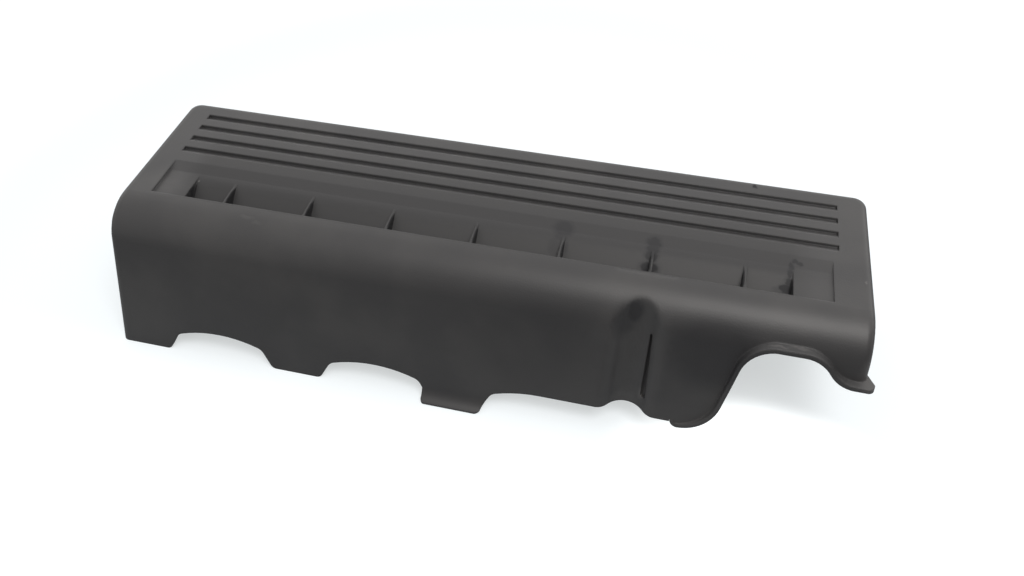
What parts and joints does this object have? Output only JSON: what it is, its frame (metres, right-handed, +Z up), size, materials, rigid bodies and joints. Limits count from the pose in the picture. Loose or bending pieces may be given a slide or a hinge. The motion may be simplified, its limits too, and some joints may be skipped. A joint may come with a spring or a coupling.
{
  "type": "engine cover",
  "caption": "Moulded plastic engine cover: ribbed channel and grooves on top, rounded front with arches, a flute and a rimmed mouth; pushes onto studs with rubber grommets.",
  "frame": {"origin": "on the floor that the cover stands on, in the middle of its box", "axes": "+X along the row of ribs towards the wide mouth, +Y towards the plain back wall, +Z up"},
  "size_m": [0.396, 0.131, 0.076],
  "materials": {
    "cover_plastic": "fine moulded grain, matte",
    "grommet_rubber": "matte"
  },
  "bodies": {
    "root": {"cover_moulding": "cover_plastic", "grommet_front_left": "grommet_rubber", "grommet_front_right": "grommet_rubber", "grommet_back_left": "grommet_rubber", "grommet_back_right": "grommet_rubber"}
  },
  "joints": []
}
